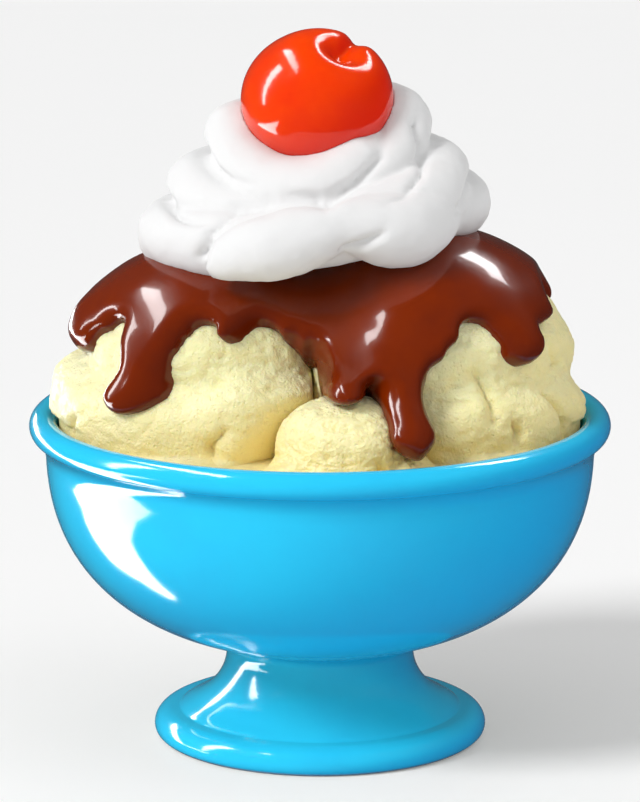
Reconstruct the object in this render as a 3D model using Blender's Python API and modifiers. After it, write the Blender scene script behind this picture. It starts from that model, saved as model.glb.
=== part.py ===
"""Ice cream sundae in a footed bowl: four scoops, chocolate sauce, a piped swirl of cream and a cherry.

Metres, +Z up. The origin is the middle of the foot's base, and the front faces -Y. Sizes below are in
millimetres, and MM turns them into metres where a mesh is made.
"""

import math

import bmesh
import bpy
import numpy as np
from mathutils import Vector

MM = 0.001
GAP = 0.35  # clearance between two foods, or between food and bowl

# The bowl: a deep cup with a rolled rim, on a short foot
RIM_RADIUS = 54.0
BEAD_RADIUS = 2.6
BEAD_HEIGHT = 59.6
WALL_TOP = 57.0
CUP_OUTER = (51.0, 39.6)  # half width and depth of the outer wall, below WALL_TOP
CUP_INNER = (47.6, 36.0)
CUP_SQUARENESS = 2.4
NECK_RADIUS = 17.4
FOOT_FLARE = ((17.5, 15.0), (18.3, 12.3), (20.1, 9.5), (22.8, 7.4), (25.6, 5.9), (26.6, 5.5), (28.6, 5.2), (30.3, 4.2))
FOOT_LIP = ((31.2, 2.5), (30.9, 0.8), (29.7, 0.0))
FOOT_RING_INNER = 26.0
FOOT_HOLLOW = 3.0
BOWL_STEPS = 48

# The scoops: a ball's centre and radius, how high the wavy dent above its skirt is, and the skirt's swell
SCOOPS = {
    "scoop_left": ((-20.5, -3.0, 63.6), 27.3, 73.5, 1.9),
    "scoop_right": ((20.0, -2.0, 64.5), 29.2, 71.5, 0.2),
    "scoop_front": ((5.0, -30.0, 54.5), 16.8, 61.5, 0.4),
    "scoop_back": ((0.0, 21.0, 61.0), 28.0, 71.0, 0.8),
}
SCOOP_RINGS = {"scoop_left": (44, 16), "scoop_right": (44, 16), "scoop_front": (36, 12), "scoop_back": (36, 12)}
FILL_LEVEL = 58.8  # how high melted and pressed ice cream stands against the wall
SKIRT_RUFFLE = 0.35
DENT_DEPTH = 2.4
DENT_WIDTH = 4.0

# The sauce's edge, seen from the heart of the heap: each turn is an azimuth from the front towards the
# right, a drop from straight up, and half the width of its round end, all in degrees
HEART = (0.0, -2.0, 62.0)
SAUCE_TURNS = (
    (-82, 74, 9), (-66, 62, 3), (-54, 83, 5.5), (-43, 54, 4), (-37, 57.5, 2.5), (-26, 45.5, 6),
    (-9, 52.5, 4), (-2, 51.5, 2), (9, 75, 4.5), (16.5, 70, 1.5), (25.5, 91, 7.5), (36.5, 67, 3),
    (50, 58, 5), (61, 72, 4.5), (90, 57.5, 14), (118, 77, 6), (131, 61, 4), (141, 68, 4), (149, 58, 3),
    (159, 84, 6), (174, 61, 5), (188, 72, 5), (202, 58, 6), (217, 80, 6), (233, 60, 6), (247, 68, 5),
    (259, 61, 4),
)
SAUCE_THICK = 3.1
SAUCE_CLEARANCE = 0.6
SAUCE_POOL = 9.0  # how widely the sauce fills the clefts between scoops
SAUCE_ROUND = 5.0  # how far in from its edge the sauce reaches its full thickness
SAUCE_COLUMNS = 240
SAUCE_RINGS = 20
SAUCE_FACES_KEPT = 0.185

# The whipped cream: one piped rope that coils up and in, anticlockwise from above
ROPE_RADIUS = 6.8
ROPE_TAPER = 0.035  # share of the radius lost for each turn
COIL_START, COIL_END = -0.355, 2.93  # in turns, counted from the right side
COIL_RADIUS = 26.2
COIL_SHRINK = 6.1  # for each turn
COIL_SWAY = 1.3
COIL_DEPTH = 0.77  # depth of a turn for its width
COIL_SHIFT = -1.0
COIL_BASE, COIL_RISE = 96.5, 8.6
COIL_LEAN = 0.179  # the right side stands higher
TAIL_DROOP = (2.5, 1.6)  # how far the rope's first end runs forward and down over the sauce
# The rope is squeezed out unevenly. Each wave is the turn where it is, its width in turns, the share that the
# radius gains there, and how far the rope is lifted and moved outwards
ROPE_WAVES = (
    (-0.3, 0.05, -0.07, 0.8, 0.0), (-0.225, 0.035, -0.24, 1.5, 0.0), (-0.155, 0.045, 0.1, -1.3, 0.0),
    (-0.07, 0.05, -0.12, 0.6, -2.2), (0.0, 0.06, -0.06, -0.3, 0.0), (0.9, 0.09, 0.18, -0.6, 2.0),
    (1.0, 0.16, 0.0, -3.4, 1.0), (1.5, 0.12, 0.0, 0.0, 1.1), (2.0, 0.2, 0.08, -1.8, 0.6),
    (2.72, 0.12, 0.18, -1.2, 0.5),
)
END_SPREAD = (3.2, 0.15, 3.0)  # the last half turn widens round the cherry, deepens and sinks
CREAM_FACES_KEPT = 0.13

# The cherry, sunk in the last turn
CHERRY_CENTRE = (-0.5, -3.0, 120.7)
CHERRY_HALF = (14.0, 13.4, 12.8)
DIMPLE_TOWARDS = (0.36, -0.42, 0.83)


def start_clean():
    for obj in list(bpy.data.objects):
        bpy.data.objects.remove(obj, do_unlink=True)


def new_collection(name):
    collection = bpy.data.collections.new(name)
    bpy.context.scene.collection.children.link(collection)
    return collection


def food_material(name, colour, roughness):
    material = bpy.data.materials.new(name)
    material.use_nodes = True
    shader = material.node_tree.nodes["Principled BSDF"]
    shader.inputs["Base Color"].default_value = (*colour, 1.0)
    shader.inputs["Roughness"].default_value = roughness
    return material


def add_object(name, mesh, material, collection):
    obj = bpy.data.objects.new(name, mesh)
    mesh.materials.append(material)
    collection.objects.link(obj)
    mesh.shade_smooth()
    return obj


def moved_sphere(name, columns, rings, place):
    """A UV sphere whose vertices go where place(azimuth, rung) puts them, in millimetres.

    The azimuth array is in radians, 0 at the front and positive to the right. A rung counts the rings
    from the top, 0, to the bottom.
    """
    bm = bmesh.new()
    bmesh.ops.create_uvsphere(bm, u_segments=columns, v_segments=rings, radius=1.0)
    unit = np.array([vertex.co[:] for vertex in bm.verts])
    azimuth = np.arctan2(unit[:, 0], -unit[:, 1])
    rung = np.rint(np.arccos(np.clip(unit[:, 2], -1, 1)) / math.pi * rings).astype(int)
    for vertex, point in zip(bm.verts, place(azimuth, rung)):
        vertex.co = Vector(point) * MM
    mesh = bpy.data.meshes.new(name)
    bm.to_mesh(mesh)
    bm.free()
    return mesh


def directions(azimuth, polar):
    """Unit vectors for an azimuth from the front and an angle down from straight up."""
    across = np.sin(polar)
    return np.stack([across * np.sin(azimuth), -across * np.cos(azimuth), np.cos(polar)], axis=-1)


def smooth_step(low, high, value):
    t = np.clip((value - low) / (high - low), 0.0, 1.0)
    return t * t * (3 - 2 * t)


def bowl_profile():
    """The bowl's outline from the middle of its floor, up the inside, over the rim and down to the foot."""
    power = 2.0 / CUP_SQUARENESS
    bead_centre = RIM_RADIUS - BEAD_RADIUS

    def wall(half_width, depth, angle):
        return half_width * math.cos(angle) ** power, WALL_TOP - depth * math.sin(angle) ** power

    points = [(0.0, WALL_TOP - CUP_INNER[1])]
    points += [wall(*CUP_INNER, math.radians(angle)) for angle in (82, 70, 56, 42, 28, 15, 5)]
    for angle in (197, 160, 125, 90, 55, 20, -15, -50, -85):
        turned = math.radians(angle)
        points.append((bead_centre + BEAD_RADIUS * math.cos(turned), BEAD_HEIGHT + BEAD_RADIUS * math.sin(turned)))
    points += [wall(*CUP_OUTER, math.radians(angle)) for angle in (4, 14, 25, 36, 48, 59, 68)]
    points.append((NECK_RADIUS, 18.5))
    points += FOOT_FLARE
    points += FOOT_LIP
    points += [(FOOT_RING_INNER, 0.0), (FOOT_RING_INNER - 1.5, FOOT_HOLLOW - 0.6), (0.0, FOOT_HOLLOW)]
    return points


def make_bowl(collection):
    glaze = food_material("cyan_glaze", (0.032, 0.62, 0.98), 0.15)
    points = bowl_profile()
    mesh = bpy.data.meshes.new("bowl")
    edges = [(i, i + 1) for i in range(len(points) - 1)]
    mesh.from_pydata([(r * MM, 0.0, z * MM) for r, z in points], edges, [])
    bowl = add_object("bowl", mesh, glaze, collection)
    turn = bowl.modifiers.new("turn", "SCREW")
    turn.steps = BOWL_STEPS
    turn.render_steps = BOWL_STEPS
    turn.use_merge_vertices = True
    turn.merge_threshold = 0.0001
    turn.use_smooth_shade = True
    return bowl


def room_at(height):
    """How far out the food may reach at each height, inside the bowl's wall and rim."""
    half_width, depth = CUP_INNER[0] - GAP, CUP_INNER[1] - GAP
    down = np.clip((WALL_TOP - height) / depth, 0.0, 1.0)
    cup = half_width * (1 - down**CUP_SQUARENESS) ** (1 / CUP_SQUARENESS)
    cup = cup + np.clip(height - WALL_TOP, 0.0, 2.6) * 0.46
    reach = BEAD_RADIUS + GAP
    from_bead = np.abs(height - BEAD_HEIGHT)
    inner = RIM_RADIUS - BEAD_RADIUS - np.sqrt(np.clip(reach**2 - from_bead**2, 0.0, None))
    beside_bead = (height > BEAD_HEIGHT - 2.0) & (from_bead < reach)
    room = np.where(beside_bead, np.minimum(cup, inner), cup)
    return np.where(height > BEAD_HEIGHT + reach, 1000.0, room)


def distance_to_bowl(centre, aim):
    """How far each aimed ray runs from the centre before it meets the bowl."""
    far = np.full(len(aim), 70.0)
    for step in np.arange(70.0, 1.0, -0.25):
        point = centre + aim * step
        outside = np.hypot(point[:, 0], point[:, 1]) > room_at(point[:, 2])
        far = np.where(outside | (point[:, 2] < WALL_TOP - CUP_INNER[1] + GAP), step, far)
    return far - 0.25


def skin_of(name, aim):
    """How far a scoop's surface is from its centre: a ball with a swelling skirt below a wavy dent."""
    centre, radius, dent_height, swell = SCOOPS[name]
    turned = np.arctan2(aim[..., 0], -aim[..., 1])
    phase = 0.17 * dent_height
    above = centre[2] + radius * aim[..., 2] - dent_height
    above = above - 1.5 * np.sin(3 * turned + phase) - 0.8 * np.sin(7 * turned + 2 * phase)
    dent = DENT_DEPTH * np.exp(-((above / DENT_WIDTH) ** 2))
    skirt = smooth_step(3.0, -6.0, above)
    return radius + skirt * (swell + SKIRT_RUFFLE * np.sin(11 * turned + phase)) - dent


def room_for_scoop(name, aim):
    """How far along each aimed ray a scoop may reach, up to the bowl and half way to its neighbours."""
    centre, radius, _, _ = SCOOPS[name]
    limit = distance_to_bowl(np.array(centre), aim)
    for other, (spot, other_radius, _, _) in SCOOPS.items():
        if other == name:
            continue
        apart = np.array(spot) - np.array(centre)
        distance = np.linalg.norm(apart)
        middle = (distance**2 + radius**2 - other_radius**2) / (2 * distance) - GAP / 2
        towards = np.maximum(aim @ (apart / distance), 1e-6)
        limit = np.minimum(limit, middle / towards)
    return limit


def scoop_columns(name, count):
    """Evenly spaced azimuths, of which the nearest ones are moved onto the upright edges of the pressed part."""
    fine = np.linspace(-math.pi, math.pi, 1440, endpoint=False)
    across = room_for_scoop(name, directions(fine, np.full(len(fine), math.radians(98))))
    is_edge = (across > np.roll(across, 1)) & (across >= np.roll(across, -1))
    azimuths = np.linspace(-math.pi, math.pi, count, endpoint=False)
    for edge in fine[is_edge]:
        away = (azimuths - edge + math.pi) % (2 * math.pi) - math.pi
        azimuths[np.argmin(np.abs(away))] = edge
    return azimuths


def make_scoop(name, collection, material):
    """Above the fill level a scoop is a ball, and below it the ice cream is pressed into the bowl."""
    centre = np.array(SCOOPS[name][0])
    columns, rings = SCOOP_RINGS[name]
    azimuths = scoop_columns(name, columns)

    def place(azimuth, rung):
        azimuth = azimuths[np.rint((azimuth / (2 * math.pi) + 0.5) * columns).astype(int) % columns]
        corner = np.full(len(azimuth), math.radians(100))
        for _ in range(4):
            across = room_for_scoop(name, directions(azimuth, corner)) * np.sin(corner)
            corner = math.pi / 2 + np.arctan((centre[2] - FILL_LEVEL) / across)
        step = rung / rings
        above = np.where(step < 0.25, step * 4 * 0.5, 0.5 + (step - 0.25)) * corner
        below = corner + (step - 0.75) * 4 * (math.pi - corner)
        polar = np.where(step < 0.75, above, below)
        aim = directions(azimuth, polar)
        limit = room_for_scoop(name, aim)
        reach = np.where(step < 0.75, np.minimum(skin_of(name, aim), limit), limit)
        return centre + aim * reach[:, None]

    return add_object(name, moved_sphere(name, columns, rings, place), material, collection)


def heap_distance(points, blend):
    """Distance outside the heap of balls, with the clefts between them filled over a width of blend."""
    total = None
    for name, (centre, _, _, _) in SCOOPS.items():
        from_centre = points - np.array(centre)
        reach = np.linalg.norm(from_centre, axis=-1)
        gap = reach - skin_of(name, from_centre / reach[..., None])
        total = gap if total is None else blended_least(total, gap, blend)
    return total


def blended_least(first, second, blend):
    mix = np.clip(0.5 + 0.5 * (second - first) / blend, 0.0, 1.0)
    return second + (first - second) * mix - blend * mix * (1 - mix)


def on_heap(azimuth, drop, lift, blend):
    """Points that lie lift above the heap, seen from its heart along an azimuth and a drop."""
    heart = np.array(HEART)
    aim = directions(azimuth, drop)
    low = np.full(len(aim), 15.0)
    for step in np.arange(15.0, 75.0, 0.5):
        low = np.where(heap_distance(heart + aim * step, blend) < lift, step, low)
    high = low + 0.5
    for _ in range(12):
        middle = (low + high) / 2
        inside = heap_distance(heart + aim * middle[:, None], blend) < lift
        low, high = np.where(inside, middle, low), np.where(inside, high, middle)
    return heart + aim * low[:, None]


def sauce_edge(count):
    """The sauce's edge as count azimuths and drops in radians, evenly spaced along it."""
    path = []
    turns = SAUCE_TURNS + ((SAUCE_TURNS[0][0] + 360,) + SAUCE_TURNS[0][1:],)
    for (azimuth, drop, half), (next_azimuth, next_drop, next_half) in zip(turns, turns[1:]):
        rise = next_drop - drop
        for angle in np.radians(np.arange(0, 90, 15)):
            end = math.copysign(min(half, abs(rise) / 2), rise)
            path.append((azimuth + half * math.sin(angle), drop + end * (1 - math.cos(angle))))
        for angle in np.radians(np.arange(90, 0, -15)):
            end = math.copysign(min(next_half, abs(rise) / 2), rise)
            path.append((next_azimuth - next_half * math.sin(angle), next_drop - end * (1 - math.cos(angle))))
    path.append((path[0][0] + 360, path[0][1]))
    path = np.radians(np.array(path))
    step = np.hypot(np.diff(path[:, 0]) * np.sin(path[:-1, 1]), np.diff(path[:, 1]))
    along = np.concatenate([[0], np.cumsum(step)])
    wanted = np.linspace(0, along[-1], count, endpoint=False)
    return np.interp(wanted, along, path[:, 0]), np.interp(wanted, along, path[:, 1])


def distance_to_edge(points, edge_points):
    return np.min(np.linalg.norm(points[:, None, :] - edge_points[None, :, :], axis=-1), axis=1)


def make_sauce(collection):
    """The upper half of a sphere becomes the sauce's top, and the lower half the face that it lies on."""
    material = food_material("chocolate", (0.21, 0.025, 0.001), 0.2)
    edge_azimuth, edge_drop = sauce_edge(SAUCE_COLUMNS)
    fine_edge = on_heap(*sauce_edge(SAUCE_COLUMNS * 4), GAP, SAUCE_POOL)

    def place(azimuth, rung):
        column = np.rint((azimuth / (2 * math.pi)) * SAUCE_COLUMNS).astype(int) % SAUCE_COLUMNS
        share = 1 - (np.abs(rung - SAUCE_RINGS) / SAUCE_RINGS) ** 1.35
        drop = edge_drop[column] * share
        turned = edge_azimuth[column]
        under = on_heap(turned, drop, SAUCE_CLEARANCE, 0.01)
        inward = distance_to_edge(on_heap(turned, drop, GAP, SAUCE_POOL), fine_edge)
        lip = np.sqrt(1 - (1 - np.clip(inward / SAUCE_ROUND, 0, 1)) ** 2)
        over = on_heap(turned, drop, SAUCE_CLEARANCE + 0.5 + (SAUCE_THICK - 0.5) * lip, SAUCE_POOL)
        return np.where((rung < SAUCE_RINGS)[:, None], over, under)

    mesh = moved_sphere("chocolate_sauce", SAUCE_COLUMNS, 2 * SAUCE_RINGS, place)
    sauce = add_object("chocolate_sauce", mesh, material, collection)
    fewer = sauce.modifiers.new("fewer faces", "DECIMATE")
    fewer.ratio = SAUCE_FACES_KEPT
    return sauce


def helper(name, mesh, collection):
    obj = bpy.data.objects.new(name, mesh)
    collection.objects.link(obj)
    obj.hide_render = True
    obj.display_type = "WIRE"
    return obj


def rope_wave(turn, column):
    """The sum at a turn of one column of the waves: 2 for the radius, 3 for the lift, 4 for the outward shift."""
    return sum(wave[column] * math.exp(-(((turn - wave[0]) / wave[1]) ** 2)) for wave in ROPE_WAVES)


def coil_point(turn):
    """The middle of the cream's rope after a number of turns, in millimetres."""
    angle = 2 * math.pi * turn
    spread = float(smooth_step(2.4, 2.85, turn))
    radius = COIL_RADIUS - COIL_SHRINK * (turn - 0.25) + COIL_SWAY * math.sin(2 * math.pi * (turn - 0.25))
    radius += END_SPREAD[0] * spread + rope_wave(turn, 4)
    x = COIL_SHIFT + radius * math.cos(angle)
    y = (COIL_DEPTH + END_SPREAD[1] * spread) * radius * math.sin(angle)
    lean = COIL_LEAN * (1 + 0.25 * turn) * x
    nod = (0.42 * turn - 0.12) * min(y, 0.0)  # the higher turns nod towards the front
    droop = float(smooth_step(-0.15, COIL_START, turn))
    sink = TAIL_DROOP[1] * droop + END_SPREAD[2] * float(smooth_step(2.7, COIL_END, turn))
    rise = COIL_RISE * turn + rope_wave(turn, 3)
    return x, y - TAIL_DROOP[0] * droop, COIL_BASE + rise + lean + nod - sink


def cream_rope(cutters):
    curve = bpy.data.curves.new("rope", "CURVE")
    curve.dimensions = "3D"
    curve.bevel_depth = ROPE_RADIUS * MM
    curve.bevel_resolution = 3
    curve.use_fill_caps = True
    turns = np.arange(COIL_START, COIL_END, 0.03)
    spline = curve.splines.new("POLY")
    spline.points.add(len(turns) - 1)
    for point, turn in zip(spline.points, turns):
        point.co = (*(Vector(coil_point(turn)) * MM), 1.0)
        from_end = min(turn - COIL_START + 0.012, COIL_END - turn)
        squeezed = (1 - ROPE_TAPER * turn) * (1 + rope_wave(turn, 2))
        point.radius = float(np.clip(from_end / 0.07, 0.15, 1.0)) ** 0.5 * squeezed
    return helper("rope", curve, cutters)


def cream_core():
    """What fills the coil: a leaning cone under the cherry."""
    bm = bmesh.new()
    bmesh.ops.create_cone(bm, cap_ends=True, segments=32, radius1=21 * MM, radius2=9 * MM, depth=21 * MM)
    for vertex in bm.verts:
        vertex.co.y *= COIL_DEPTH
        vertex.co.z += 104 * MM + COIL_LEAN * vertex.co.x
    mesh = bpy.data.meshes.new("core")
    bm.to_mesh(mesh)
    bm.free()
    return mesh


def mesh_from(obj, name):
    """The object's evaluated shape as a closed mesh of its own."""
    bpy.context.view_layer.update()
    evaluated = obj.evaluated_get(bpy.context.evaluated_depsgraph_get())
    mesh = bpy.data.meshes.new_from_object(evaluated)
    mesh.name = name
    bm = bmesh.new()
    bm.from_mesh(mesh)
    bmesh.ops.remove_doubles(bm, verts=bm.verts, dist=1e-6)
    bmesh.ops.recalc_face_normals(bm, faces=bm.faces)
    bm.to_mesh(mesh)
    bm.free()
    return mesh


def cherry_radius(aim):
    """How far the cherry's skin is from its middle, for a sphere of radius 1."""
    dimple = np.array(DIMPLE_TOWARDS) / np.linalg.norm(DIMPLE_TOWARDS)
    away = np.arccos(np.clip(aim @ dimple, -1, 1))
    seam_plane = np.cross(dimple, (0.25, 0.9, 0.0))
    seam_plane = seam_plane / np.linalg.norm(seam_plane)
    beside = aim @ seam_plane
    behind = smooth_step(0.0, 0.35, aim @ np.array((0.25, 0.9, 0.2)) - dimple @ np.array((0.25, 0.9, 0.2)))
    fade = np.exp(-((away / 0.9) ** 2))
    shoulder = 0.02 * np.exp(-(((away - 0.6) / 0.32) ** 2))
    pit = 0.26 * np.exp(-((away / 0.27) ** 2))
    seam = 0.16 * np.exp(-((beside / 0.13) ** 2)) * behind * fade
    return 1.0 + shoulder - pit - seam


def cherry_mesh(name, grown, columns=26, rings=16):
    """The sphere's pole is turned to the dimple, so that the rings lie round it."""
    turned = np.array(Vector((0, 0, 1)).rotation_difference(Vector(DIMPLE_TOWARDS)).to_matrix())

    def place(azimuth, rung):
        aim = directions(azimuth, rung / rings * math.pi) @ turned.T
        skin = aim * cherry_radius(aim)[:, None] * (np.array(CHERRY_HALF) + grown)
        return np.array(CHERRY_CENTRE) + skin

    return moved_sphere(name, columns, rings, place)


def sauce_hill(name, lift):
    """The sauce's top as a closed hill, which shapes the underside of the cream."""

    def place(azimuth, rung):
        polar = rung / 24 * math.pi
        over = on_heap(azimuth, np.minimum(polar, 1.2), lift, SAUCE_POOL)
        down = np.array(HEART) + directions(azimuth, polar) * 30.0
        return np.where((polar <= 1.2)[:, None], over, down)

    return moved_sphere(name, 48, 24, place)


def cut(obj, cutter):
    modifier = obj.modifiers.new("cut by " + cutter.name, "BOOLEAN")
    modifier.operation = "DIFFERENCE"
    modifier.object = cutter


def make_cream(collection, cutters):
    material = food_material("cream", (0.95, 0.95, 0.94), 0.5)
    rope = cream_rope(cutters)
    bm = bmesh.new()
    bm.from_mesh(mesh_from(rope, "rope_mesh"))
    bm.from_mesh(cream_core())
    mesh = bpy.data.meshes.new("whipped_cream")
    bm.to_mesh(mesh)
    bm.free()
    bpy.data.objects.remove(rope, do_unlink=True)
    cream = add_object("whipped_cream", mesh, material, collection)
    fuse = cream.modifiers.new("fuse", "REMESH")
    fuse.mode = "VOXEL"
    fuse.voxel_size = 1.1 * MM
    soften = cream.modifiers.new("soften", "SMOOTH")
    soften.iterations = 4
    fewer = cream.modifiers.new("fewer faces", "DECIMATE")
    fewer.ratio = CREAM_FACES_KEPT
    cut(cream, helper("sauce_hill", sauce_hill("sauce_hill", SAUCE_CLEARANCE + SAUCE_THICK + GAP), cutters))
    cut(cream, helper("cherry_place", cherry_mesh("cherry_place", GAP), cutters))
    return cream


def main():
    start_clean()
    sundae = new_collection("ice_cream_sundae")
    cutters = new_collection("cutters")
    make_bowl(sundae)
    vanilla = food_material("vanilla_ice_cream", (0.98, 0.97, 0.55), 0.5)
    for name in SCOOPS:
        make_scoop(name, sundae, vanilla)
    make_sauce(sundae)
    make_cream(sundae, cutters)
    skin = food_material("cherry_skin", (0.97, 0.075, 0.0), 0.1)
    add_object("cherry", cherry_mesh("cherry", 0.0), skin, sundae)


main()
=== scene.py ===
# %% [markdown]
# # An ice cream sundae
# This lesson dresses a plain solid model of a sundae as real food: a glazed footed bowl, four scoops of
# vanilla ice cream, chocolate sauce that runs down over them, a swirl of whipped cream and a cherry.
# Every piece made here takes the place of one of its solids, so every piece has to be in the same place
# and of the same size as the solid that it stands for.

# %% Load the solid model
import math

import bmesh
import bpy
import numpy as np
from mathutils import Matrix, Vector, kdtree, noise


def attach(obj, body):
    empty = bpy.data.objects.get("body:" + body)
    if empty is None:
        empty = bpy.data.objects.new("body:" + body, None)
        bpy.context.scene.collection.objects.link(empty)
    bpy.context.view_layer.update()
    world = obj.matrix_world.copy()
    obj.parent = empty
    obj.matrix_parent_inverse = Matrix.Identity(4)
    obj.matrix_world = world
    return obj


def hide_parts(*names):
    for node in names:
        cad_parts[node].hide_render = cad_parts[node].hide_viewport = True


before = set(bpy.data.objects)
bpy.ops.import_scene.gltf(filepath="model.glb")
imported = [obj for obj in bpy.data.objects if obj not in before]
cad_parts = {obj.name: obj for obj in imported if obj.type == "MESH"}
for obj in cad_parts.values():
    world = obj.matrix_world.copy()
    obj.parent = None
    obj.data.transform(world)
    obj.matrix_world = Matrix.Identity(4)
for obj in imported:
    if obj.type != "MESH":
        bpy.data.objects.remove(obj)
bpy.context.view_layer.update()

MM = 0.001
scene = bpy.context.scene

# %% [markdown]
# ## Camera
# A portrait lens from almost a metre away keeps the bowl's rim a shallow oval. The camera looks down by
# about twelve degrees, and it comes first because every later choice is judged through it.

# %% Camera
CAMERA_PLACE = Vector((0.0, -0.9271, 0.2708))
CAMERA_AIM = Vector((0.0, 0.0, 0.0636))
LENS = 229.6
NEAREST_SEEN = 0.05


def add_object(name, data):
    obj = bpy.data.objects.new(name, data)
    scene.collection.objects.link(obj)
    return obj


def aim_at(obj, place, target):
    """Puts a camera or a lamp in its place, and turns it to look at the target."""
    obj.location = place
    obj.rotation_euler = (Vector(target) - Vector(place)).to_track_quat("-Z", "Y").to_euler()


camera_data = bpy.data.cameras.new("camera")
camera_data.lens = LENS
camera_data.clip_start = NEAREST_SEEN
scene.camera = add_object("camera", camera_data)
aim_at(scene.camera, CAMERA_PLACE, CAMERA_AIM)
print("camera is", round((CAMERA_AIM - CAMERA_PLACE).length, 3), "m away")

# %% [markdown]
# ## Small tools
# Food has no straight edges, so most pieces here are worked out as rings of points with numpy, and one
# helper wraps such rings in faces. Angles are measured as a baker would turn the bowl: 0 is the front,
# and positive angles go round to the right. Lengths are in millimetres until a mesh is made.


# %% Directions, soft steps and wrapped rings
def directions(azimuth, polar):
    """Unit vectors for a turn from the front and an angle down from straight up."""
    across = np.sin(polar)
    return np.stack([across * np.sin(azimuth), -across * np.cos(azimuth), np.cos(polar)], axis=-1)


def soft_step(low, high, value):
    t = np.clip((value - low) / (high - low), 0.0, 1.0)
    return t * t * (3 - 2 * t)


def soft_least(first, second, blend):
    """The smaller of two values, with the corner between them rounded over a width of blend."""
    mix = np.clip(0.5 + 0.5 * (second - first) / blend, 0.0, 1.0)
    return second + (first - second) * mix - blend * mix * (1 - mix)


def bell(value, width):
    """A smooth hump, 1 where the value is 0 and nearly 0 from two widths away."""
    return np.exp(-((value / width) ** 2))


def full_turn(count, start=-math.pi):
    """Evenly spaced angles once round, in radians."""
    return np.linspace(start, start + 2 * math.pi, count, endpoint=False)


def wrapped_mesh(name, rings):
    """A closed mesh from rings of points, given from top to bottom, with one point at each end."""
    count, columns, _ = rings.shape
    ends = np.array([rings[0].mean(axis=0), rings[-1].mean(axis=0)])
    points = np.concatenate([rings.reshape(-1, 3), ends]) * MM
    here = np.arange(columns)
    after = (here + 1) % columns
    faces = []
    for ring in range(count - 1):
        upper, lower = ring * columns, (ring + 1) * columns
        faces += np.stack([upper + here, lower + here, lower + after, upper + after], axis=1).tolist()
    top, bottom, last = count * columns, count * columns + 1, (count - 1) * columns
    faces += [(top, int(a), int(b)) for a, b in zip(here, after)]
    faces += [(bottom, last + int(b), last + int(a)) for a, b in zip(here, after)]
    mesh = bpy.data.meshes.new(name)
    mesh.from_pydata(points.tolist(), [], faces)
    mesh.shade_smooth()
    return mesh


def lumps(points, size, octaves=3, seed=0.0):
    """Cloudy noise between about -1 and 1 at each point, with lumps of roughly the given size."""
    shift = Vector((seed, 2.7 * seed, -1.9 * seed))
    flat = points.reshape(-1, 3) / size
    values = [noise.fractal(Vector(p) + shift, 0.9, 2.1, octaves) for p in flat.tolist()]
    return np.array(values).reshape(points.shape[:-1])


# %% [markdown]
# ## One way to add a piece
# Each finished piece rides with the bowl, stands for one solid of the model, hides that solid and gets
# its own material. Putting this in one helper means that no piece can be left out of it.


# %% Add a piece
def add_piece(name, mesh, material, node):
    piece = add_object(name, mesh)
    mesh.materials.append(material)
    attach(piece, "root")
    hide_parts(node)
    print(name, "has", len(mesh.polygons), "faces")
    return piece


# %% [markdown]
# ## Materials in few words
# A material is a tree of nodes. Written out one line for each socket, the tree hides what it does, so
# one helper makes a whole node. Each input is given a fixed value, or the output of another node, which
# is then linked to it. A few more helpers are the steps that nearly every food needs.


# %% Nodes in one call
WHITE = (1.0, 1.0, 1.0, 1.0)
# A Mix node keeps sockets for numbers, vectors and colours side by side. These are the ones for colours
MIX_SHARE, MIX_FIRST, MIX_SECOND, MIX_RESULT = 0, 6, 7, 2


def set_inputs(node, values):
    """Fills inputs of a node, each with a value or with a link from another node's output."""
    for label, value in values.items():
        if isinstance(value, bpy.types.NodeSocket):
            node.id_data.links.new(value, node.inputs[label])
        else:
            node.inputs[label].default_value = value


def add_node(tree, kind, values, **settings):
    """A new node. Its settings come before its inputs, because some settings change the inputs."""
    node = tree.nodes.new("ShaderNode" + kind)
    for label, value in settings.items():
        setattr(node, label, value)
    set_inputs(node, values)
    return node


def object_place(tree):
    return add_node(tree, "TexCoord", {}).outputs["Object"]


def height_of(tree):
    """The height of each point above the table, in metres."""
    return add_node(tree, "SeparateXYZ", {"Vector": object_place(tree)}).outputs["Z"]


def smooth_range(tree, value, low, high, at_low=0.0, at_high=1.0):
    """Runs smoothly from at_low to at_high while the value runs from low to high."""
    limits = {"From Min": low, "From Max": high, "To Min": at_low, "To Max": at_high, "Value": value}
    return add_node(tree, "MapRange", limits, interpolation_type="SMOOTHSTEP").outputs["Result"]


def product(tree, first, second):
    return add_node(tree, "Math", {0: first, 1: second}, operation="MULTIPLY").outputs["Value"]


def colour_mix(tree, share, first, second):
    sockets = {MIX_SHARE: share, MIX_FIRST: first, MIX_SECOND: second}
    return add_node(tree, "Mix", sockets, data_type="RGBA").outputs[MIX_RESULT]


def plain_material(name, colour, roughness):
    """A material with only its Principled shader, ready for more nodes."""
    material = bpy.data.materials.new(name)
    material.use_nodes = True
    shader = material.node_tree.nodes["Principled BSDF"]
    set_inputs(shader, {"Base Color": (*colour, 1.0), "Roughness": roughness})
    return material, shader


# %% [markdown]
# ## Shared effects
# No food is one flat colour. The first group mottles a colour: it mixes two tones by cloudy noise and
# also hands out the noise, which the roughness can follow. The second group gives heights for fine
# grain, such as frost, air bubbles or orange peel, which a Bump node turns into light and shade. The
# third is a mask that grows where a surface turns away from the main light. The materials paint shade
# into their colour with it, as a deeper tone on that side, on top of the shade that the lights give.
# Groups keep only these patterns. The shader stays in each material, where its gloss can be read.

# %% Node groups for mottled colour, fine grain and the painted shade of the shaded side
NUMBER, COLOUR = "NodeSocketFloat", "NodeSocketColor"
# The main light comes from the upper left, in front
KEY_FROM = (-0.75, -0.5, 0.82)
SHADE_STARTS, SHADE_FULL = 0.7, -0.3


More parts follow.
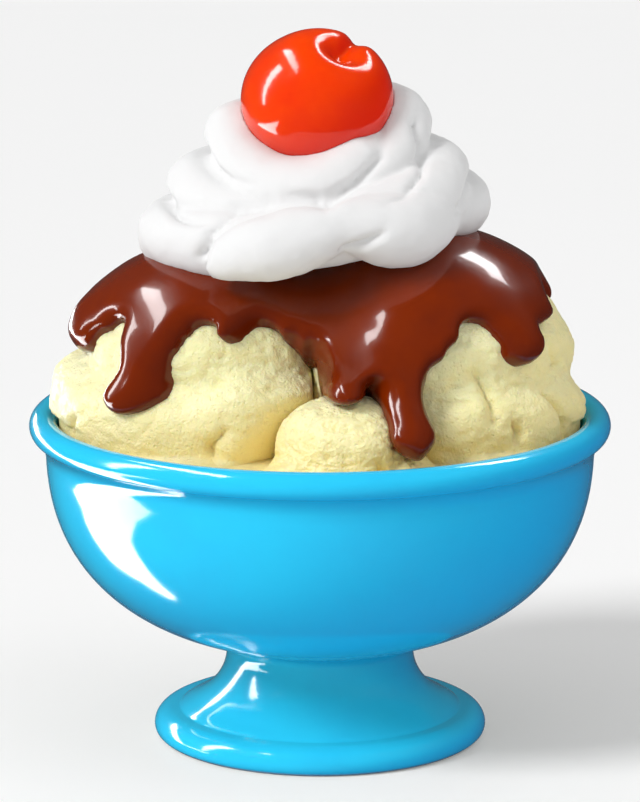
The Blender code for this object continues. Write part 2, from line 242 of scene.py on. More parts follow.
def new_group(name, ins, outs):
    """A node group with its sockets. Returns it with what it is given and the node for its results."""
    group = bpy.data.node_groups.new(name, "ShaderNodeTree")
    for label, value in ins.items():
        kind = NUMBER if isinstance(value, float) else COLOUR
        socket = group.interface.new_socket(label, in_out="INPUT", socket_type=kind)
        socket.default_value = value
    for label, kind in outs.items():
        group.interface.new_socket(label, in_out="OUTPUT", socket_type=kind)
    return group, group.nodes.new("NodeGroupInput").outputs, group.nodes.new("NodeGroupOutput")


def make_mottle_group():
    ins = {"Main Colour": WHITE, "Second Colour": WHITE, "Patch Scale": 100.0, "Amount": 0.5}
    group, given, results = new_group("mottled_colour", ins, {"Colour": COLOUR, "Patches": NUMBER})
    detail = {"Scale": given["Patch Scale"], "Detail": 4.0, "Roughness": 0.55}
    cloud = add_node(group, "TexNoise", {"Vector": object_place(group), **detail}).outputs["Fac"]
    spread = add_node(group, "MapRange", {"Value": cloud, "From Min": 0.35, "From Max": 0.65})
    patches = spread.outputs["Result"]
    share = product(group, patches, given["Amount"])
    colour = colour_mix(group, share, given["Main Colour"], given["Second Colour"])
    set_inputs(results, {"Colour": colour, "Patches": patches})
    return group


def make_grain_group():
    ins = {"Grain Scale": 1500.0, "Pit Scale": 900.0, "Pits": 0.5}
    group, given, results = new_group("fine_grain", ins, {"Height": NUMBER})
    place = object_place(group)
    grain = add_node(group, "TexNoise", {"Vector": place, "Scale": given["Grain Scale"], "Detail": 3.0})
    cells = add_node(group, "TexVoronoi", {"Vector": place, "Scale": given["Pit Scale"]})
    pit = smooth_range(group, cells.outputs["Distance"], 0.05, 0.3, -1.0, 0.0)
    terms = {0: product(group, pit, given["Pits"]), 1: grain.outputs["Fac"]}
    total = add_node(group, "Math", terms, operation="ADD")
    set_inputs(results, {"Height": total.outputs["Value"]})
    return group


def make_shade_group():
    ins = {"Starts": SHADE_STARTS, "Full": SHADE_FULL}
    group, given, results = new_group("shade_side", ins, {"Mask": NUMBER})
    normal = add_node(group, "NewGeometry", {}).outputs["Normal"]
    towards = {0: normal, 1: Vector(KEY_FROM).normalized()}
    facing = add_node(group, "VectorMath", towards, operation="DOT_PRODUCT").outputs["Value"]
    set_inputs(results, {"Mask": smooth_range(group, facing, given["Starts"], given["Full"])})
    return group


mottled_colour = make_mottle_group()
fine_grain = make_grain_group()
shade_side = make_shade_group()
print("groups:", mottled_colour.name, fine_grain.name, shade_side.name)


# %% Use the groups in a material
def add_mottle(shader, main, second, patch_scale, amount, roughness):
    """Mottles the base colour, and lets the roughness run between two values with the patches."""
    tree = shader.id_data
    tones = {"Main Colour": (*main, 1.0), "Second Colour": (*second, 1.0)}
    sizes = {"Patch Scale": patch_scale, "Amount": amount}
    mottle = add_node(tree, "Group", {**tones, **sizes}, node_tree=mottled_colour).outputs
    limits = {"Value": mottle["Patches"], "To Min": roughness[0], "To Max": roughness[1]}
    rough = add_node(tree, "MapRange", limits).outputs["Result"]
    set_inputs(shader, {"Base Color": mottle["Colour"], "Roughness": rough})


def add_bump(shader, height, strength, distance):
    bump = {"Height": height, "Strength": strength, "Distance": distance}
    set_inputs(shader, {"Normal": add_node(shader.id_data, "Bump", bump).outputs["Normal"]})


def add_grain(shader, grain_scale, pit_scale, pits, strength, distance):
    sizes = {"Grain Scale": grain_scale, "Pit Scale": pit_scale, "Pits": pits}
    grain = add_node(shader.id_data, "Group", sizes, node_tree=fine_grain)
    add_bump(shader, grain.outputs["Height"], strength, distance)


def tint(shader, share, colour):
    """Mixes another colour into the base colour, by a share that other nodes work out."""
    before = shader.inputs["Base Color"].links[0].from_socket
    set_inputs(shader, {"Base Color": colour_mix(shader.id_data, share, before, (*colour, 1.0))})


def paint_shade(shader, colour, amount, starts=SHADE_STARTS, full=SHADE_FULL):
    """Paints shade into the base colour: it tints it where the surface turns away from the main light."""
    tree = shader.id_data
    shade = add_node(tree, "Group", {"Starts": starts, "Full": full}, node_tree=shade_side)
    tint(shader, product(tree, shade.outputs["Mask"], amount), colour)


def let_light_in(shader, weight, radius, scale):
    """Lets light pass a little way under the skin, each of red, green and blue by its own distance."""
    values = {"Weight": weight, "Radius": radius, "Scale": scale}
    set_inputs(shader, {"Subsurface " + label: value for label, value in values.items()})


# %% [markdown]
# ## The bowl
# The bowl is thrown on a wheel: a deep cup with a rolled rim on a short flared foot. Turning one outline
# round the axis with a Screw modifier is the digital version of that wheel. The wall follows a
# superellipse, which is fuller than a half circle near the rim and flatter under the food.

# %% The bowl's sizes
RIM_RADIUS = 54.0
BEAD_RADIUS = 2.6
BEAD_HEIGHT = 59.6
WALL_TOP = 57.0
CUP_OUTER = (51.0, 39.6)
CUP_INNER = (47.6, 36.0)
CUP_SQUARENESS = 2.4
FOOT = (
    (17.4, 18.5), (17.5, 15.0), (18.3, 12.3), (20.1, 9.5), (22.8, 7.4), (25.6, 5.9), (26.3, 5.35),
    (26.9, 5.3), (28.6, 5.1), (30.3, 4.2), (31.2, 2.5), (30.9, 0.8), (29.7, 0.0),
)
FOOT_RING = ((26.0, 0.0), (24.5, 2.4), (0.0, 3.0))
TURN_STEPS = 192
MERGE_WITHIN = 0.00001


# %% The bowl's outline
def cup_wall(half_width, depth, low, high, count):
    """Points down one side of the cup, between two angles in degrees."""
    angle = np.radians(np.linspace(low, high, count))
    power = 2.0 / CUP_SQUARENESS
    height = WALL_TOP - depth * np.sin(angle) ** power
    return np.stack([half_width * np.cos(angle) ** power, height], axis=1)


def rounded(points, passes=2):
    """Cuts the corners of a line of points, and so rounds it, but keeps both ends."""
    points = np.array(points, float)
    for _ in range(passes):
        near = 0.75 * points[:-1] + 0.25 * points[1:]
        far = 0.25 * points[:-1] + 0.75 * points[1:]
        middle = np.stack([near, far], axis=1).reshape(-1, 2)
        points = np.concatenate([points[:1], middle, points[-1:]])
    return points


def bowl_outline():
    inside = cup_wall(*CUP_INNER, 89, 3, 40)
    angle = np.radians(np.linspace(205, -85, 30))
    centre = RIM_RADIUS - BEAD_RADIUS
    bead_height = BEAD_HEIGHT + BEAD_RADIUS * np.sin(angle)
    bead = np.stack([centre + BEAD_RADIUS * np.cos(angle), bead_height], axis=1)
    outside = cup_wall(*CUP_OUTER, 2.5, 66, 34)
    foot = rounded((tuple(outside[-1]),) + FOOT, 3)[1:]
    middle = [(0.0, WALL_TOP - CUP_INNER[1])]
    return np.concatenate([middle, inside, bead, outside, foot, rounded((FOOT[-1],) + FOOT_RING, 1)[1:]])


outline = bowl_outline()
print("outline has", len(outline), "points, rim at", round(outline[:, 0].max(), 1), "mm")

# %% [markdown]
# The glaze is a bright cyan that a potter would dip. It lies a little darker where it pools, its surface
# is not quite flat, and the ring that the bowl stands on is wiped back to bare clay before firing. So
# the colour is mottled very gently, a faint wide bump bends the reflections, and a mask taken from the
# height above the table shows the clay. Ice cream beside a cyan rim would look green from the light that
# bounces off it, so the light that bounces is given a paler colour than the glaze that is seen.

# %% The glaze
# The clay is bare below the first height above the table and glazed above the second, in metres
BARE_CLAY = (0.0003, 0.0006)


def cyan_glaze():
    material, shader = plain_material("cyan_glaze", (0.032, 0.62, 0.98), 0.1)
    set_inputs(shader, {"Specular IOR Level": 0.35, "Coat Weight": 0.4, "Coat Roughness": 0.05})
    tree = material.node_tree
    tones = {"main": (0.026, 0.62, 0.98), "second": (0.018, 0.54, 0.93)}
    add_mottle(shader, **tones, patch_scale=55.0, amount=0.5, roughness=(0.1, 0.18))
    bare = smooth_range(tree, height_of(tree), *BARE_CLAY, at_low=1.0, at_high=0.0)
    tint(shader, bare, colour=(0.72, 0.62, 0.5))
    # Painted shade: the glaze turns a deeper blue on the side away from the main light
    paint_shade(shader, colour=(0.006, 0.33, 0.72), amount=0.85, starts=0.6, full=-0.5)
    bounced = add_node(tree, "LightPath", {}).outputs["Is Diffuse Ray"]
    tint(shader, bounced, colour=(0.5, 0.52, 0.48))
    ripple = add_node(tree, "TexNoise", {"Vector": object_place(tree), "Scale": 60.0, "Detail": 1.5})
    add_bump(shader, ripple.outputs["Fac"], strength=0.25, distance=0.0006)
    return material


# %% Turn the bowl
def make_bowl():
    mesh = bpy.data.meshes.new("bowl_outline")
    edges = [(i, i + 1) for i in range(len(outline) - 1)]
    mesh.from_pydata([(r * MM, 0.0, z * MM) for r, z in outline], edges, [])
    bowl = add_piece("glazed_bowl", mesh, cyan_glaze(), "bowl")
    turn = bowl.modifiers.new("turn on the wheel", "SCREW")
    turn.steps = TURN_STEPS
    turn.render_steps = TURN_STEPS
    turn.use_merge_vertices = True
    turn.merge_threshold = MERGE_WITHIN
    turn.use_smooth_shade = True


make_bowl()

# %% [markdown]
# ## The scoops
# A scoop of ice cream is a ball above and whatever the bowl allows below. Each ball has a dent all round
# where the scoop's rim cut it, and under the dent a skirt that was squeezed out. Points are found by
# looking outwards from the ball's centre: a point stays on the ball, unless the bowl's wall or the flat
# face shared with a neighbour comes first. Where two of these meet, the corner is rounded, and that
# makes the soft creases between scoops.

# %% The scoops' sizes
GAP = 0.35
# Each scoop's centre, the radius of its ball, the height of its dent and how far its skirt swells
SCOOPS = {
    "scoop_left": ((-20.5, -3.0, 63.6), 27.3, 73.5, 1.9),
    "scoop_right": ((20.0, -2.0, 64.5), 29.2, 71.5, 0.2),
    "scoop_front": ((5.0, -30.0, 54.5), 16.8, 61.5, 0.4),
    "scoop_back": ((0.0, 21.0, 61.0), 28.0, 71.0, 0.8),
}
FILL_LEVEL = 58.8
SKIRT_SPAN = (3.0, -6.0)
SKIRT_RUFFLE = 0.35
DENT_DEPTH = 2.4
DENT_WIDTH = 4.0
DENT_WAVE = 1.5
DENT_RIPPLE = 0.8
HALF_GAP = 0.05
NEIGHBOUR_ROUNDING = 1.0

# %% Room inside the bowl
BEAD_LEAN = 0.46
FARTHEST = 70.0
SEARCH_STEP = 0.4
HALVINGS = 7
NO_LIMIT = 1000.0
FLOOR_LEVEL = WALL_TOP - CUP_INNER[1] + GAP


def room_at(height):
    """How far out the ice cream may reach at each height, inside the bowl's wall and rim."""
    half_width, depth = CUP_INNER[0] - GAP, CUP_INNER[1] - GAP
    down = np.clip((WALL_TOP - height) / depth, 0.0, 1.0)
    cup = half_width * (1 - down**CUP_SQUARENESS) ** (1 / CUP_SQUARENESS)
    cup = cup + np.clip(height - WALL_TOP, 0.0, BEAD_RADIUS) * BEAD_LEAN
    reach = BEAD_RADIUS + GAP
    from_bead = np.abs(height - BEAD_HEIGHT)
    inner = RIM_RADIUS - BEAD_RADIUS - np.sqrt(np.clip(reach**2 - from_bead**2, 0.0, None))
    beside_bead = (height > BEAD_HEIGHT - 2.0) & (from_bead < reach)
    room = np.where(beside_bead, np.minimum(cup, inner), cup)
    return np.where(height > BEAD_HEIGHT + reach, NO_LIMIT, room)


def beyond(point):
    """True where a point is outside the room in the bowl."""
    outside = np.hypot(point[..., 0], point[..., 1]) > room_at(point[..., 2])
    return outside | (point[..., 2] < FLOOR_LEVEL)


def distance_to_bowl(centre, aim):
    """How far each aimed ray runs from the centre before it meets the bowl."""
    far = np.full(aim.shape[:-1], FARTHEST)
    for step in np.arange(FARTHEST, 1.0, -SEARCH_STEP):
        far = np.where(beyond(centre + aim * step), step, far)
    near = far - SEARCH_STEP
    for _ in range(HALVINGS):
        middle = (near + far) / 2
        outside = beyond(centre + aim * middle[..., None])
        near, far = np.where(outside, near, middle), np.where(outside, middle, far)
    return near


# %% A scoop's skin, and its room
def skin_of(name, aim, dents=1.0):
    """How far a scoop's surface is from its centre: a ball with a swelling skirt below a wavy dent."""
    centre, radius, dent_height, swell = SCOOPS[name]
    turned = np.arctan2(aim[..., 0], -aim[..., 1])
    phase = 0.17 * dent_height
    above = centre[2] + radius * aim[..., 2] - dent_height
    above = above - DENT_WAVE * np.sin(3 * turned + phase) - DENT_RIPPLE * np.sin(7 * turned + 2 * phase)
    dent = DENT_DEPTH * bell(above, DENT_WIDTH)
    skirt = soft_step(*SKIRT_SPAN, above)
    return radius + skirt * (swell + SKIRT_RUFFLE * np.sin(11 * turned + phase)) - dents * dent


def room_for_scoop(name, aim):
    """How far along each ray a scoop may reach, up to the bowl and half way to its neighbours."""
    centre, radius, _, _ = SCOOPS[name]
    limit = distance_to_bowl(np.array(centre), aim)
    for other, (spot, other_radius, _, _) in SCOOPS.items():
        if other == name:
            continue
        apart = np.array(spot) - np.array(centre)
        distance = np.linalg.norm(apart)
        middle = (distance**2 + radius**2 - other_radius**2) / (2 * distance) - HALF_GAP
        towards = np.maximum(aim @ (apart / distance), 1e-6)
        limit = soft_least(limit, middle / towards, NEIGHBOUR_ROUNDING)
    return limit


# %% [markdown]
# Hard ice cream tears as the scoop drags through it. It leaves flat, sideways crags on the ball, a
# rough hem along the dent, and a few long cracks. The crags are noise that is squeezed in height, so
# that they lie sideways. Each crack is a line of directions from the ball's centre, and the surface
# sinks along it.

# %% Crags and cracks
# Each crack is a line of turns from the front and angles down from straight up, in degrees
CRACKS = {
    "scoop_left": [[(-57, 87), (-60, 94), (-60, 99)], [(8, 86), (2, 93), (4, 99)]],
    "scoop_right": [
        [(19, 68), (22, 74), (24, 81), (23, 88)],
        [(49, 79), (56, 86), (60, 93), (59, 99)],
        [(31, 87), (34, 92), (32, 96)],
        [(59, 64), (63, 69), (73, 72)],
        [(120, 80), (126, 87), (123, 95)],
    ],
    "scoop_front": [[(24, 62), (29, 68), (28, 76)]],
    "scoop_back": [[(150, 72), (155, 80), (151, 88)], [(205, 84), (212, 90), (208, 97)]],
}
CRACK_DEPTH = 2.5
CRACK_WIDTH = 0.8
CRACK_SPOTS = 40
CRACK_RAGGED = 0.35
FLATTENED = np.array((1.0, 1.0, 2.3))
WIDE_CRAGS = 0.28
TORN_CRAGS = 0.5
PITTED = 0.5


def crack_depth(name, aim):
    """How far the surface sinks along the cracks, in millimetres."""
    radius = SCOOPS[name][1]
    depth = np.zeros(aim.shape[:-1])
    ragged = CRACK_RAGGED * lumps(aim * radius, 2.2, 2, 4.0)
    for line in CRACKS[name]:
        corners = np.radians(np.array(line, float))
        along = np.linspace(0, len(corners) - 1, CRACK_SPOTS)
        turned = np.interp(along, np.arange(len(corners)), corners[:, 0])
        down = np.interp(along, np.arange(len(corners)), corners[:, 1])
        for spot, share in zip(directions(turned, down), np.linspace(-1, 1, CRACK_SPOTS)):
            away = np.abs(radius * np.linalg.norm(aim - spot, axis=-1) + ragged)
            taper = (1 - share**2) ** 0.5
            depth = np.maximum(depth, CRACK_DEPTH * taper * np.exp(-away / CRACK_WIDTH))
    return depth


def crags(name, aim):
    """The torn relief of a scoop, in millimetres."""
    centre, radius, dent_height, _ = SCOOPS[name]
    points = aim * radius + np.array(centre)
    sideways = points * FLATTENED
    wide = lumps(sideways, 9.0, 3, dent_height)
    torn = 1 - np.abs(lumps(sideways, 5.0, 3, dent_height + 3.0))
    pitted = np.minimum(lumps(points, 1.7, 2, 5.0), 0.0)
    hem = bell(points[..., 2] - dent_height, 3.0)
    return WIDE_CRAGS * wide + TORN_CRAGS * (torn - 0.8) * (0.6 + 1.0 * hem) + PITTED * pitted


# %% [markdown]
# Ice cream is not opaque. Light goes a little way in and comes out again, which softens its shadows and
# warms them. The Principled shader's subsurface part does that over about two millimetres. Frost
# crystals make a very fine grain, and tiny air bubbles leave pits. Where it melts against the cold rim
# the air goes out of it and its yellow deepens. A mask taken from the height warms and deepens the
# colour of the low parts, which is partly that melt and partly painted shade. The side away from the
# main light gets a deeper gold, which is painted shade.

# %% The ice cream
# Partly melt, partly painted shade: warmest up to the first height above the table, plain above the second,
# in metres
MELT_AND_SHADE = (0.057, 0.076)


def vanilla():
    material, shader = plain_material("vanilla_ice_cream", (0.96, 0.93, 0.52), 0.5)
    tones = {"main": (0.99, 0.945, 0.56), "second": (0.98, 0.89, 0.44)}
    add_mottle(shader, **tones, patch_scale=140.0, amount=0.5, roughness=(0.38, 0.62))
    tree = material.node_tree
    # Partly melt and partly painted shade: the low parts by the rim turn a warmer, deeper yellow
    melt_and_shade = smooth_range(tree, height_of(tree), *MELT_AND_SHADE, at_low=0.6, at_high=0.0)
    tint(shader, melt_and_shade, colour=(1.0, 0.78, 0.32))
    # Painted shade: a deeper gold on the side away from the main light
    paint_shade(shader, colour=(1.0, 0.81, 0.36), amount=0.6)
    add_grain(shader, grain_scale=1900.0, pit_scale=900.0, pits=0.7, strength=0.45, distance=0.0008)
    let_light_in(shader, weight=0.35, radius=(1.0, 0.75, 0.35), scale=0.0025)
    set_inputs(shader, {"Coat Weight": 0.15, "Coat Roughness": 0.3})
    return material


# %% Fill the bowl with scoops
SCOOP_COLUMNS = 360
SCOOP_RINGS_SEEN = 116
SCOOP_RINGS_PRESSED = 14
FIRST_CORNER = 100
CREASE_ROUNDING = 1.6


def make_scoop(name, material):
    """One scoop, with fine rings where it shows and coarse ones where the bowl hides it."""
    centre = np.array(SCOOPS[name][0])
    turned = full_turn(SCOOP_COLUMNS)
    corner = np.full(SCOOP_COLUMNS, math.radians(FIRST_CORNER))
    for _ in range(4):
        across = room_for_scoop(name, directions(turned, corner)) * np.sin(corner)
        corner = math.pi / 2 + np.arctan((centre[2] - FILL_LEVEL) / across)
    share = np.linspace(0, 1, SCOOP_RINGS_SEEN + 1)[1:, None]
    seen = corner * share
    rest = np.linspace(0, 1, SCOOP_RINGS_PRESSED + 2)[1:-1, None]
    pressed = corner + (math.pi - corner) * rest
    polar = np.concatenate([seen, pressed])
    aim = directions(np.broadcast_to(turned, polar.shape), polar)
    limit = room_for_scoop(name, aim)
    skin = skin_of(name, aim) + crags(name, aim) - crack_depth(name, aim)
    is_seen = polar <= corner - 0.001
    reach = np.where(is_seen, soft_least(skin, limit, CREASE_ROUNDING), limit)
    mesh = wrapped_mesh(name + "_ice_cream", centre + aim * reach[..., None])
    add_piece(name + "_ice_cream", mesh, material, name)


vanilla_ice_cream = vanilla()
for name in SCOOPS:
    make_scoop(name, vanilla_ice_cream)

# %% [markdown]
# ## Melting shapes together
# Sauce and cream have no seams. A voxel remesh draws one new skin round any closed shapes, and smoothing
# rounds it. Both modifiers are applied at once on a helper object, because later steps move the points
# of the finished skin.


# %% Melt and smooth
def add_soften(helper, smoothing):
    helper.modifiers.new("soften", "SMOOTH").iterations = smoothing


def applied(name, helper):
    """The mesh of a helper object with its modifiers applied. The helper itself is removed."""
    bpy.context.view_layer.update()
    mesh = bpy.data.meshes.new_from_object(helper.evaluated_get(bpy.context.evaluated_depsgraph_get()))
    bpy.data.objects.remove(helper, do_unlink=True)
    mesh.name = name
    mesh.shade_smooth()
    return mesh


def melted_together(name, meshes, voxel, smoothing):
    """One skin round all the given meshes, as a new mesh."""
    bm = bmesh.new()
    for mesh in meshes:
        bm.from_mesh(mesh)
    joined = bpy.data.meshes.new(name)
    bm.to_mesh(joined)
    bm.free()
    helper = add_object(name, joined)
    fuse = helper.modifiers.new("fuse", "REMESH")
    fuse.mode = "VOXEL"
    fuse.voxel_size = voxel
    add_soften(helper, smoothing)
    return applied(name, helper)


# %% [markdown]
# ## The chocolate sauce
# Warm sauce is poured on the middle and runs outwards. It is thick, so it ends in a rounded lip, fills
# the clefts between the scoops, and hangs in fingers whose ends swell as they cool. To build it, imagine
# standing in the heart of the heap and looking out. Every direction has a turn and a drop from straight
# up, and the sauce's edge is a closed line on that map. The sauce's top then rises from the ice cream
# by a height that depends only on how far inside the line a point is.

# %% The map of the sauce's edge
HEART = np.array((0.0, -2.0, 62.0))
# Each turn of the edge: its turn from the front, its drop, half the width of its round end (degrees),
# and how much narrower the finger's neck is than that end
EDGE_TURNS = (
    (-82, 74, 9, 0), (-66, 62, 3, 0), (-54, 83.5, 6.5, 0.12), (-43, 54, 4, 0), (-37, 58, 3.2, 0),
    (-26, 45.5, 6, 0), (-9, 52.5, 4, 0), (-4.5, 51.5, 2, 0), (7.3, 76, 7.2, 0), (17, 70, 1.5, 0),
    (26, 91.5, 8, 0.14), (37.5, 67, 3, 0), (50, 58, 5, 0), (61, 73, 5.2, 0.05), (90, 57.5, 14, 0),
    (118, 77, 6, 0.3), (131, 61, 4, 0), (141, 68, 4, 0.1), (149, 58, 3, 0), (159, 84, 6, 0.3),
    (174, 61, 5, 0), (188, 72, 5, 0.2), (202, 58, 6, 0), (217, 80, 6, 0.3), (233, 60, 6, 0),
    (247, 68, 5, 0.1), (259, 61, 4, 0),
)
EDGE_POINTS = 1800
EDGE_SMOOTHING = 12
QUARTER_STEP = 15


def edge_path():
    """The sauce's edge as a fine closed line of turns and drops, in radians."""
    path = []
    following = EDGE_TURNS[1:] + ((EDGE_TURNS[0][0] + 360,) + EDGE_TURNS[0][1:],)
    for this, coming in zip(EDGE_TURNS, following):
        turn, drop, half, neck = this
        next_turn, next_drop, next_half, next_neck = coming
        rise = next_drop - drop
        end = math.copysign(min(half, abs(rise) / 2), rise)
        next_end = math.copysign(min(next_half, abs(rise) / 2), rise)
        for angle in np.radians(np.arange(0, 91, QUARTER_STEP)):
            path.append((turn + half * math.sin(angle), drop + end * (1 - math.cos(angle))))
        if neck:
            path.append((turn + half * (1 - neck), drop + 0.45 * rise))
        if next_neck:
            path.append((next_turn - next_half * (1 - next_neck), drop + 0.55 * rise))
        for angle in np.radians(np.arange(90, 0, -QUARTER_STEP)):
            beside, below = next_half * math.sin(angle), next_end * (1 - math.cos(angle))
            path.append((next_turn - beside, next_drop - below))
    path = np.radians(np.array(path))
    closed = np.concatenate([path, path[:1] + (2 * math.pi, 0)])
    steps = np.hypot(np.diff(closed[:, 0]) * np.sin(closed[:-1, 1]), np.diff(closed[:, 1]))
    along = np.concatenate([[0], np.cumsum(steps)])
    wanted = np.linspace(0, along[-1], EDGE_POINTS, endpoint=False)
    fine = np.stack([np.interp(wanted, along, column) for column in closed.T], axis=1)
    for _ in range(EDGE_SMOOTHING):
        before = np.roll(fine, 1, axis=0)
        before[0, 0] -= 2 * math.pi
        after = np.roll(fine, -1, axis=0)
        after[-1, 0] += 2 * math.pi
        fine = 0.5 * fine + 0.25 * (before + after)
    return fine


edge = edge_path()
print("edge has", len(edge), "points, lowest drip at", round(math.degrees(edge[:, 1].max())), "degrees")


# %% The heap under the sauce
WALK_STEPS = 26
WALK_SHARE = 0.85


def heap_distance(points, blend, dents=1.0):
    """Distance outside the heap of scoops, with the clefts between them filled over a width of blend."""
    total = None
    for name, (centre, _, _, _) in SCOOPS.items():
        from_centre = points - np.array(centre)
        reach = np.linalg.norm(from_centre, axis=-1)
        gap = reach - skin_of(name, from_centre / reach[..., None], dents)
        total = gap if total is None else soft_least(total, gap, blend)
    return total


def on_heap(turned, drop, lift, blend, dents=1.0):
    """Walks inwards along each ray from the heart until it is only lift away from the heap."""
    aim = directions(turned, drop)
    far = np.full(aim.shape[:-1], FARTHEST)
    for _ in range(WALK_STEPS):
        gap = heap_distance(HEART + aim * far[..., None], blend, dents) - lift
        far = far - WALK_SHARE * gap
    return HEART + aim * far[..., None]


# %% [markdown]
# The sauce is thickest a few millimetres in from its edge, and thicker still in the ends of its fingers,
# where it gathers. It is too thick to follow the dents in the ice cream, so its top is worked out from
# a heap with shallower dents. The top sheet, an under sheet just below the ice cream's surface and a
# wall between them make a closed body. A voxel remesh and some smoothing then round its lip.

# %% The sauce's thickness
SAUCE_THICK = 3.3
SAUCE_POOL = 9.0
EDGE_POOL = 4.0
LIP_WIDTH = 3.2
SAUCE_COLUMNS = 640
SAUCE_RINGS = 150
UNDER_DEPTH = 1.2
SAUCE_VOXEL = 0.5 * MM
LONG_FINGER = 70
FINGER_WIDTH = 4.5
FINGER_SWELL = 0.3
SAUCE_WAVE = 0.07
FIRST_LIFT = 0.5
SHALLOW_DENTS = 0.35
POOL_FADE = 5.0
DENT_FADE = 3.5
SAUCE_SMOOTHING = 12


def signed_inside(turned, drop, points):
    """How far each point is inside the edge, in millimetres, and negative outside it."""
    line = on_heap(edge[:, 0], edge[:, 1], np.zeros(len(edge)), SAUCE_POOL)
    tree = kdtree.KDTree(len(line))
    for index, spot in enumerate(line.tolist()):
        tree.insert(spot, index)
    tree.balance()
    away = np.array([tree.find(spot)[2] for spot in points.reshape(-1, 3).tolist()]).reshape(drop.shape)
    flat_edge = np.stack([edge[:, 1] * np.sin(edge[:, 0]), -edge[:, 1] * np.cos(edge[:, 0])], axis=1)
    x, y = drop * np.sin(turned), -drop * np.cos(turned)
    crossings = np.zeros(drop.shape, int)
    for (x1, y1), (x2, y2) in zip(flat_edge, np.roll(flat_edge, -1, axis=0)):
        if y1 == y2:
            continue
        spans = (y1 > y) != (y2 > y)
        crossings += spans & (x < (x2 - x1) * (y - y1) / (y2 - y1) + x1)
    return np.where(crossings % 2 == 1, away, -away)


def finger_ends(points):
    """1 at the swollen end of each long finger, fading to 0 a few millimetres away."""
    swell = np.zeros(points.shape[:-1])
    for turn, drop, half, _ in EDGE_TURNS:
        if drop < LONG_FINGER:
            continue
        spot = on_heap(np.radians([turn]), np.radians([drop - half]), np.zeros(1), SAUCE_POOL)[0]
        away = np.linalg.norm(points - spot, axis=-1)
        swell = np.maximum(swell, bell(away, FINGER_WIDTH))
    return swell


# %% [markdown]
# Chocolate sauce is nearly opaque, but its skin is wet: a sharp clear coat lies over a dark brown that
# turns redder where it is thin. A faint wide bump keeps the highlights from being perfect.


# %% The chocolate
def chocolate():
    material, shader = plain_material("chocolate_sauce", (0.2, 0.026, 0.003), 0.2)
    tones = {"main": (0.2, 0.02, 0.0005), "second": (0.13, 0.011, 0.0004)}
    add_mottle(shader, **tones, patch_scale=90.0, amount=0.5, roughness=(0.16, 0.26))
    # Painted shade: a darker brown on the side away from the main light
    paint_shade(shader, colour=(0.1, 0.008, 0.0003), amount=0.8)
    add_grain(shader, grain_scale=130.0, pit_scale=400.0, pits=0.1, strength=0.12, distance=0.0006)
    set_inputs(shader, {"Specular IOR Level": 0.2, "Coat Weight": 0.45, "Coat Roughness": 0.06})
    let_light_in(shader, weight=0.08, radius=(1.0, 0.3, 0.1), scale=0.001)
    return material


# %% The sauce's two sheets
NO_BLEND = 0.05
EDGE_MARGIN = 0.03


def sauce_sheets():
    """The sauce's top sheet, its under sheet, and which of their points lie inside its edge."""
    deepest = edge[:, 1].max() + EDGE_MARGIN
    turned = full_turn(SAUCE_COLUMNS)
    drop = np.linspace(0, deepest, SAUCE_RINGS + 1)[1:, None]
    turned, drop = np.broadcast_arrays(turned, drop)
    base = on_heap(turned, drop, np.zeros(drop.shape), SAUCE_POOL)
    inside = signed_inside(turned, drop, base)
    lip = np.sqrt(1 - (1 - np.clip(inside / LIP_WIDTH, 0, 1)) ** 2)
    swollen = 1 + FINGER_SWELL * finger_ends(base)
    thick = SAUCE_THICK * swollen * (1 + SAUCE_WAVE * lumps(base, 11.0, 2, 8.0))
    lift = FIRST_LIFT + (thick - FIRST_LIFT) * lip
    pool = EDGE_POOL + (SAUCE_POOL - EDGE_POOL) * soft_step(0.0, POOL_FADE, inside)
    close = on_heap(turned, drop, lift, pool)
    smooth = on_heap(turned, drop, lift, SAUCE_POOL, SHALLOW_DENTS)
    share = soft_step(0.0, DENT_FADE, inside)[..., None]
    under = on_heap(turned, drop, np.full(drop.shape, -UNDER_DEPTH), NO_BLEND)
    return close + (smooth - close) * share, under, inside > 0


# %% Close the sheets, and pour
def add_face(bm, corners, flipped):
    bm.faces.new(corners[::-1] if flipped else corners)


def shell_mesh(name, top, under, kept):
    """Joins a top sheet and an under sheet into one closed mesh, over the kept points only."""
    count, columns, _ = top.shape
    bm = bmesh.new()
    sheets = []
    for sheet in (top, under):
        corners = np.full((count, columns), None, dtype=object)
        for ring, column in zip(*np.nonzero(kept)):
            corners[ring, column] = bm.verts.new((sheet[ring, column] * MM).tolist())
        middle = bm.verts.new((sheet[0].mean(axis=0) * MM).tolist())
        sheets.append((corners, middle))
    for (corners, middle), flipped in zip(sheets, (False, True)):
        for column in range(columns):
            after = (column + 1) % columns
            add_face(bm, [middle, corners[0, column], corners[0, after]], flipped)
        for ring in range(count - 1):
            for column in range(columns):
                after = (column + 1) % columns
                square = [corners[ring, column], corners[ring + 1, column]]
                square += [corners[ring + 1, after], corners[ring, after]]
                if None not in square:
                    add_face(bm, square, flipped)
    twins = {}
    for ring, column in zip(*np.nonzero(kept)):
        twins[sheets[0][0][ring, column]] = sheets[1][0][ring, column]
    for rim in [side for side in bm.edges if side.is_boundary and side.verts[0] in twins]:
        loop = rim.link_loops[0]
        first, second = loop.vert, loop.link_loop_next.vert
        bm.faces.new([second, first, twins[first], twins[second]])
    loose = [vert for vert in bm.verts if not vert.link_faces]
    bmesh.ops.delete(bm, geom=loose, context="VERTS")
    mesh = bpy.data.meshes.new(name)
    bm.to_mesh(mesh)
    bm.free()
    return mesh


shell = shell_mesh("sheets", *sauce_sheets())
pour = melted_together("poured_sauce", [shell], SAUCE_VOXEL, SAUCE_SMOOTHING)
add_piece("poured_sauce", pour, chocolate(), "chocolate_sauce")

